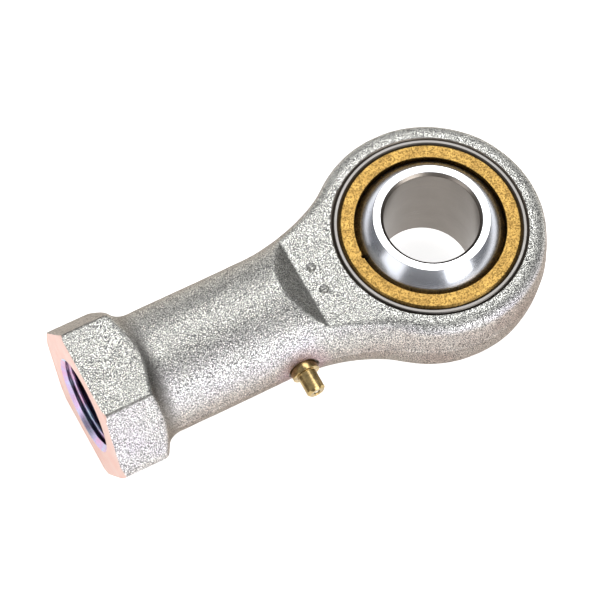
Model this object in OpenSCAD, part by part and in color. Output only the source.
// Rod end bearing with a female thread, a forged housing and a side grease nipple.
// Origin: centre of the ball. +Z: axis of the bore. +X: from the threaded end towards the eye.

/* [Ball] */
// Diameter of the bore for the pin
bore_d = 20; // [16:0.5:25]
// Diameter of the ball
ball_d = 34.925; // [30:0.005:40]
// Width of the ball across its two flat faces
ball_w = 25; // [20:0.5:30]
// Chamfer at both ends of the bore
bore_chamfer = 0.65; // [0.2:0.05:1]
// Radial running clearance between ball and race
ball_play = 0.05; // [0.02:0.01:0.1]

/* [Race and outer ring] */
// Half width of the bronze race
race_half_w = 9.15; // [8:0.05:10]
// Outer radius of the bronze race
race_r = 19.15; // [18.5:0.05:20]
// Chamfer on the outer edges of the race
race_chamfer = 0.5; // [0.2:0.05:0.8]
// Radius of the opening in the race's two faces
race_mouth_r = 15.9; // [15.2:0.05:17]
// Radius of the round grease groove along the race's inner face
groove_r = 0.8; // [0.6:0.1:1.5]
// Radius of the small grease notch across both mouths of the race
notch_r = 0.5; // [0.3:0.05:0.8]
// Radius of the grease hole through the race
race_hole_r = 1; // [0.5:0.1:1.5]
// Outer radius of the steel outer ring
ring_r = 20.2; // [20:0.05:21]
// Chamfer on the outer edges of the steel ring
ring_chamfer = 0.2; // [0.1:0.05:0.5]
// Bevel on the inner edges of the steel ring
ring_bevel = 0.35; // [0.1:0.05:0.5]
// Interference of the pressed joints, on the radius
press = 0.01; // [0.005:0.005:0.02]

/* [Head] */
// Thickness of the head between its two flat faces
head_t = 18; // [14:0.5:22]
// Radius of the head at the forging's parting plane
head_r = 25; // [23:0.1:27]
// Radius of the head's barrelled side, seen in section
barrel_r = 40; // [26:1:80]
// Rounding of the head's two outer edges
head_edge_r = 2.2; // [0.5:0.1:3]
// Chamfer of the seat in the head
seat_chamfer = 0.55; // [0.2:0.05:1]

/* [Shank and neck] */
// Radius of the round shank
shank_r = 13.3; // [12:0.05:15]
// Distance from the ball's centre to where the flat head face ends
neck_x = 29.7; // [27:0.1:33]
// Slope of the neck's inclined faces, in degrees
neck_slope = 38; // [25:1:60]
// Radius of the flare from the shank to the head
flare_r = 46.4; // [35:0.1:60]
// Distance from the ball's centre to the threaded end face
end_x = 80.5; // [70:0.5:90]

/* [Hexagonal end] */
// Width across the inclined flats
hex_af = 32; // [28:0.5:36]
// Height across the top and bottom flats
hex_h = 29.2; // [26:0.1:34]
// Half width at the trimmed corners on the parting plane
hex_corner = 18.2; // [16:0.1:19]
// Length of the hexagon's full section
hex_l = 10; // [6:0.1:14]
// Radius of the end face's outline
hex_end_r = 17; // [16:0.1:18]
// Bevel between the end face and the hexagon, in degrees
end_bevel = 30; // [20:1:45]
// Concave fillet from the shoulder to the shank
shoulder_r = 3; // [1:0.1:5]
// Angle of the shoulder's flank from the long axis, in degrees
shoulder_angle = 60; // [40:1:75]

/* [Threaded hole] */
// Core radius of the M20 x 1.5 thread
thread_core_r = 9.19; // [8:0.01:10]
// Usable depth of the thread
thread_l = 33; // [25:1:40]
// Length of the core drilling beyond the usable thread
thread_runout = 3.5; // [1:0.5:6]
// Radius of the chamfer at the hole's mouth
thread_mouth_r = 10.5; // [10:0.1:11.5]
// Half angle of the drilled bottom, in degrees
drill_angle = 59; // [45:1:75]

/* [Grease nipple] */
// Distance from the ball's centre to the nipple's axis
nipple_x = 36.7; // [32:0.1:45]
// Distance from the long axis to the spot face under the collar
spot_y = 12.9; // [12:0.05:13.2]
// Radius of the spot face
spot_r = 3.3; // [3.1:0.05:4]
// Radius of the pressed stem
stem_r = 2.5; // [2:0.05:3]
// Length of the pressed stem
stem_l = 4.7; // [3:0.1:6]
// Radius of the collar
collar_r = 3; // [2.6:0.05:3.5]
// Thickness of the collar
collar_t = 1.8; // [1:0.1:2.5]
// Radius of the nipple's head
nip_head_r = 2.05; // [1.8:0.05:2.5]
// Length of the nipple's head
nip_head_l = 4.6; // [3:0.1:6]
// Chamfer at the nipple's tip
nip_chamfer = 0.45; // [0.2:0.05:0.8]
// Radius of the check ball
check_r = 0.9; // [0.6:0.05:1.2]
// Radius of the inlet hole in the tip
inlet_r = 0.7; // [0.4:0.05:0.85]
// Thickness of the lip around the inlet
lip_t = 0.45; // [0.3:0.05:0.8]
// Radius of the chamber that holds the check ball and the spring
chamber_r = 1.05; // [0.95:0.05:1.4]
// Radius of the outlet in the crimped inner end
outlet_r = 0.6; // [0.4:0.05:0.8]
// Length of the crimped inner end
crimp_t = 1; // [0.5:0.1:1.5]
// Gap between the check ball and its neighbours at rest
check_gap = 0.02; // [0.01:0.01:0.05]
// Radius of the spring's wire
wire_r = 0.11; // [0.08:0.01:0.15]
// Mean radius of the spring's coils
coil_r = 0.75; // [0.6:0.01:0.85]
// Number of coils
coils = 9; // [5:1:14]

/* [Grease passages] */
// Radius of the cross hole behind the nipple
cross_r = 1.6; // [1:0.1:2.2]
// How far the cross hole runs past the long axis
cross_past = 1.2; // [0:0.1:3]
// Free depth in front of the pressed stem
stem_gap = 0.3; // [0.1:0.1:1]
// Radius of the inclined drilling
drill_r = 1.25; // [0.8:0.05:1.6]
// Height at which the inclined drilling meets the seat
drill_z = 2.4; // [0:0.1:4]
// Slope of the inclined drilling, in degrees
drill_slope = 12; // [11:1:15]

/* [Punch marks] */
// Radius of the tool that leaves the two round marks
mark_tool_r = 1.6; // [1:0.1:4]
// Depth of the marks
mark_depth = 0.5; // [0.1:0.05:0.6]
// Distance from the ball's centre to the marks
mark_x = 26.6; // [24:0.1:28]
// Distance between the marks
mark_pitch = 5.6; // [4:0.1:8]

/* [Hidden] */
$fn = 96;
over = 1;
steel = [0.74, 0.73, 0.70];
ring_steel = [0.86, 0.86, 0.87];
bronze = [0.78, 0.62, 0.36];
chrome = [0.88, 0.88, 0.90];
brass = [0.66, 0.60, 0.36];
spring_steel = [0.62, 0.63, 0.66];

ball_r = ball_d / 2;
bore_r = bore_d / 2;
race_ball_r = ball_r + ball_play;
head_h = head_t / 2;
seam = 0.05;
barrel_x = head_r - barrel_r;
edge_z = head_h - head_edge_r;
edge_x = barrel_x + sqrt(pow(barrel_r - head_edge_r, 2) - pow(edge_z, 2));
barrel_h = edge_z * barrel_r / (barrel_r - head_edge_r);
flare_y = flare_r + shank_r;
flare_reach = flare_r + head_r - 2 * seam;
flare_x = sqrt(pow(flare_reach, 2) - pow(flare_y, 2));
neck_end_x = flare_x * (1 - flare_r / flare_reach);
neck_top = head_r + over;
neck_run = (neck_top - head_h) / tan(neck_slope);
hex_c = hex_af / 2 / cos(30);
hex_top_y = hex_c - hex_h / 2 / tan(60);
hex_land_z = (hex_c - hex_corner) * tan(60);
hex_r = hex_c + 4 * seam;
bevel_l = (hex_r - hex_end_r) * tan(end_bevel);
hex_x = hex_l - end_x;
fillet_foot_r = shank_r - seam;
flank_run = (hex_r + shoulder_r * cos(shoulder_angle) - fillet_foot_r - shoulder_r)
          / sin(shoulder_angle);
foot_x = hex_x + flank_run * cos(shoulder_angle);
foot_r = hex_r - flank_run * sin(shoulder_angle);
shoulder_x = foot_x + shoulder_r * sin(shoulder_angle);
core_end_x = thread_l + thread_runout - end_x;
mouth_l = thread_mouth_r - thread_core_r + 4 * seam;
nip_tip_y = spot_y + collar_t + nip_head_l;
nip_seat_y = nip_tip_y - lip_t;
check_y = nip_seat_y - sqrt(pow(check_r, 2) - pow(inlet_r, 2)) - check_gap;
chamber_end_y = spot_y - stem_l + crimp_t;
spring_top_y = check_y - sqrt(pow(check_r + wire_r, 2) - pow(coil_r, 2)) - 1.5 * check_gap;
spring_foot_y = chamber_end_y + wire_r + check_gap;
coil_steps = 18;
wire_steps = 6;

// A cylinder along +X from x0 to x1.
module rod_x(r, x0, x1) {
    translate([x0, 0, 0])
        rotate([0, 90, 0])
            cylinder(r = r, h = x1 - x0);
}

// A cylinder along -Y on the nipple's axis, from y0 to y1 counted outwards.
module rod_y(r, y0, y1, r2 = -1) {
    translate([-nipple_x, -y0, 0])
        rotate([90, 0, 0])
            cylinder(r1 = r, r2 = r2 < 0 ? r : r2, h = y1 - y0);
}

// Cones that bevel a bore along Z at both of its faces.
module bore_bevels(r, face_z, size) {
    for (side = [0, 1])
        mirror([0, 0, side])
            translate([0, 0, face_z - size])
                cylinder(r1 = r, r2 = r + size + over, h = size + over);
}

// Half section of the head: a barrel between two flat faces, with rounded edges.
module head_profile() {
    translate([0, -head_h])
        square([edge_x, head_t]);
    intersection() {
        translate([barrel_x, 0])
            circle(r = barrel_r);
        translate([0, -barrel_h])
            square([head_r + over, 2 * barrel_h]);
    }
    for (side = [-1, 1])
        translate([edge_x, side * edge_z])
            circle(r = head_edge_r);
}

module head() {
    rotate_extrude()
        head_profile();
}

// The round shank flares into the head and slopes down to the head's two flat faces.
module neck() {
    difference() {
        rotate([0, 90, 0])
            rotate_extrude()
                difference() {
                    polygon([
                        [0, hex_x], [shank_r, hex_x], [shank_r, -flare_x],
                        [neck_top, -flare_x], [neck_top, -neck_end_x], [0, -neck_end_x]
                    ]);
                    translate([flare_y, -flare_x])
                        circle(r = flare_r);
                }
        for (side = [0, 1])
            mirror([0, 0, side])
                translate([0, neck_top, 0])
                    rotate([90, 0, 0])
                        linear_extrude(height = 2 * neck_top)
                            polygon([
                                [-neck_x, head_h], [0, head_h],
                                [0, neck_top], [-neck_x - neck_run, neck_top]
                            ]);
    }
}

module hex_end() {
    intersection() {
        translate([-end_x, 0, 0])
            rotate([90, 0, 90])
                linear_extrude(height = shoulder_x + end_x)
                    polygon([
                        [hex_top_y, hex_h / 2], [hex_corner, hex_land_z],
                        [hex_corner, -hex_land_z], [hex_top_y, -hex_h / 2],
                        [-hex_top_y, -hex_h / 2], [-hex_corner, -hex_land_z],
                        [-hex_corner, hex_land_z], [-hex_top_y, hex_h / 2]
                    ]);
        rotate([0, 90, 0])
            rotate_extrude()
                difference() {
                    polygon([
                        [0, -end_x], [hex_end_r, -end_x], [hex_r, bevel_l - end_x],
                        [hex_r, hex_x], [foot_r, foot_x],
                        [foot_r, shoulder_x], [0, shoulder_x]
                    ]);
                    translate([fillet_foot_r + shoulder_r, shoulder_x])
                        circle(r = shoulder_r);
                }
    }
}

module thread_hole() {
    rod_x(thread_core_r, -end_x - over, core_end_x);
    translate([core_end_x, 0, 0])
        rotate([0, 90, 0])
            cylinder(r1 = thread_core_r, r2 = 0, h = thread_core_r / tan(drill_angle));
    translate([-end_x - over, 0, 0])
        rotate([0, 90, 0])
            cylinder(r1 = thread_mouth_r + over, r2 = thread_mouth_r - mouth_l, h = mouth_l + over);
}

module housing_passages() {
    rod_y(spot_r, spot_y, shank_r + 2 * over);
    rod_y(stem_r - press, spot_y - stem_l - stem_gap, spot_y + over);
    rod_y(cross_r, -cross_past, spot_y - stem_l);
    translate([-ring_r, 0, drill_z])
        rotate([0, -90 - drill_slope, 0])
            translate([0, 0, -2 * over])
                cylinder(r = drill_r, h = nipple_x - ring_r + 2 * over + cross_r / 3);
}

module housing() {
    color(steel)
        difference() {
            union() {
                head();
                neck();
                hex_end();
            }
            translate([0, 0, -head_h - over])
                cylinder(r = ring_r - press, h = head_t + 2 * over);
            bore_bevels(ring_r - press, head_h, seat_chamfer);
            thread_hole();
            housing_passages();
            for (side = [-1, 1])
                translate([-mark_x, side * mark_pitch / 2, head_h + mark_tool_r - mark_depth])
                    sphere(r = mark_tool_r);
        }
}

module outer_ring() {
    inner_r = race_r - press;
    outer_z = head_h - ring_chamfer;
    inner_z = head_h - ring_bevel;
    color(ring_steel)
        difference() {
            rotate_extrude()
                polygon([
                    [inner_r, -inner_z], [inner_r + ring_bevel, -head_h],
                    [ring_r - ring_chamfer, -head_h], [ring_r, -outer_z], [ring_r, outer_z],
                    [ring_r - ring_chamfer, head_h], [inner_r + ring_bevel, head_h],
                    [inner_r, inner_z]
                ]);
            translate([0, 0, drill_z])
                rod_x(drill_r, -ring_r - over, -race_r + over);
        }
}

module race() {
    color(bronze)
        difference() {
            rotate_extrude()
                difference() {
                    polygon([
                        [0, -race_half_w], [race_r - race_chamfer, -race_half_w],
                        [race_r, race_chamfer - race_half_w],
                        [race_r, race_half_w - race_chamfer],
                        [race_r - race_chamfer, race_half_w], [0, race_half_w]
                    ]);
                    intersection() {
                        circle(r = race_ball_r);
                        translate([0, -2 * ball_r])
                            square([2 * ball_r, 4 * ball_r]);
                    }
                    translate([0, -race_half_w - over])
                        square([race_mouth_r, 2 * (race_half_w + over)]);
                }
            intersection() {
                rotate([90, 0, 0])
                    rotate_extrude()
                        translate([race_ball_r, 0])
                            circle(r = groove_r);
                translate([-2 * ball_r, -ball_r, -ball_r])
                    cube([2 * ball_r, 2 * ball_r, 2 * ball_r]);
            }
            translate([-race_mouth_r, 0, -race_half_w - over])
                cylinder(r = notch_r, h = 2 * (race_half_w + over));
            translate([0, 0, drill_z])
                rod_x(race_hole_r, -race_r - over, -ball_r + over);
        }
}

module inner_ring() {
    color(chrome)
        difference() {
            intersection() {
                sphere(r = ball_r);
                translate([0, 0, -ball_w / 2])
                    cylinder(r = ball_d, h = ball_w);
            }
            translate([0, 0, -ball_w / 2 - over])
                cylinder(r = bore_r, h = ball_w + 2 * over);
            bore_bevels(bore_r, ball_w / 2, bore_chamfer);
        }
}

module nipple_body() {
    color(brass)
        difference() {
            union() {
                rod_y(stem_r, spot_y - stem_l, spot_y + collar_t / 2);
                rod_y(collar_r, spot_y, spot_y + collar_t);
                rod_y(nip_head_r, spot_y + collar_t / 2, nip_tip_y - nip_chamfer);
                rod_y(nip_head_r, nip_tip_y - nip_chamfer, nip_tip_y, nip_head_r - nip_chamfer);
            }
            rod_y(inlet_r, nip_seat_y - over, nip_tip_y + over);
            rod_y(chamber_r, chamber_end_y, nip_seat_y);
            rod_y(outlet_r, spot_y - stem_l - over, chamber_end_y + over);
        }
}

module nipple_ball() {
    color(chrome)
        translate([-nipple_x, -check_y, 0])
            sphere(r = check_r);
}

module nipple_spring() {
    turns = coils * coil_steps;
    rings = [
        for (i = [0 : turns])
            for (k = [0 : wire_steps - 1])
                let (
                    a = 360 * i / coil_steps,
                    b = 360 * k / wire_steps,
                    r = coil_r + wire_r * cos(b),
                    y = spring_foot_y + (spring_top_y - spring_foot_y) * i / turns
                )
                [r * cos(a) - nipple_x, -y + wire_r * sin(b), r * sin(a)]
    ];
    sides = [
        for (i = [0 : turns - 1])
            for (k = [0 : wire_steps - 1])
                let (n = (k + 1) % wire_steps, p = i * wire_steps, q = p + wire_steps)
                [p + k, q + k, q + n, p + n]
    ];
    start_cap = [[for (k = [0 : wire_steps - 1]) k]];
    end_cap = [[for (k = [0 : wire_steps - 1]) turns * wire_steps + wire_steps - 1 - k]];
    color(spring_steel)
        polyhedron(points = rings, faces = concat(start_cap, sides, end_cap), convexity = 10);
}

housing();
outer_ring();
race();
inner_ring();
nipple_body();
nipple_ball();
nipple_spring();
